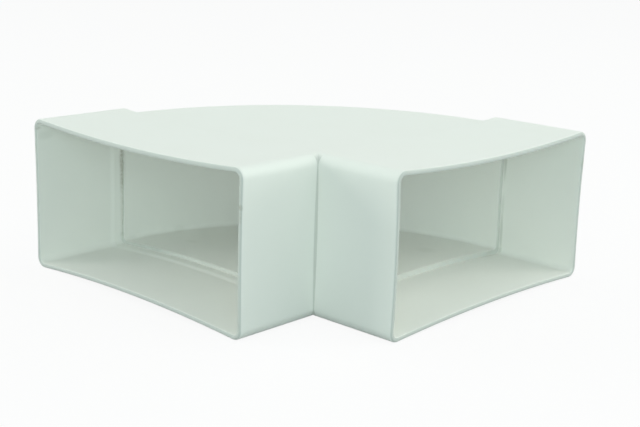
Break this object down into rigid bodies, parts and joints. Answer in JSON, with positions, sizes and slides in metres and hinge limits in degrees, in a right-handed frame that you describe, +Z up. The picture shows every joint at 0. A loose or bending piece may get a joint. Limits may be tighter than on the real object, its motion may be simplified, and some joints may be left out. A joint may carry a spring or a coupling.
{
  "type": "rectangular duct bend",
  "caption": "White moulded right-angle bend for flat rectangular ventilation duct: rectangular sockets at right angles, joined by a hollow quarter-round body.",
  "frame": {"origin": "at floor level, under the middle of the bend's bounding box", "axes": "+Z up; socket A opens towards -Y and socket B towards +X; the quarter-round back faces -X and +Y"},
  "size_m": [0.1484, 0.1484, 0.0578],
  "materials": {
    "white_pvc": "satin white moulded PVC"
  },
  "bodies": {
    "root": {"duct_bend": "white_pvc"}
  },
  "joints": []
}
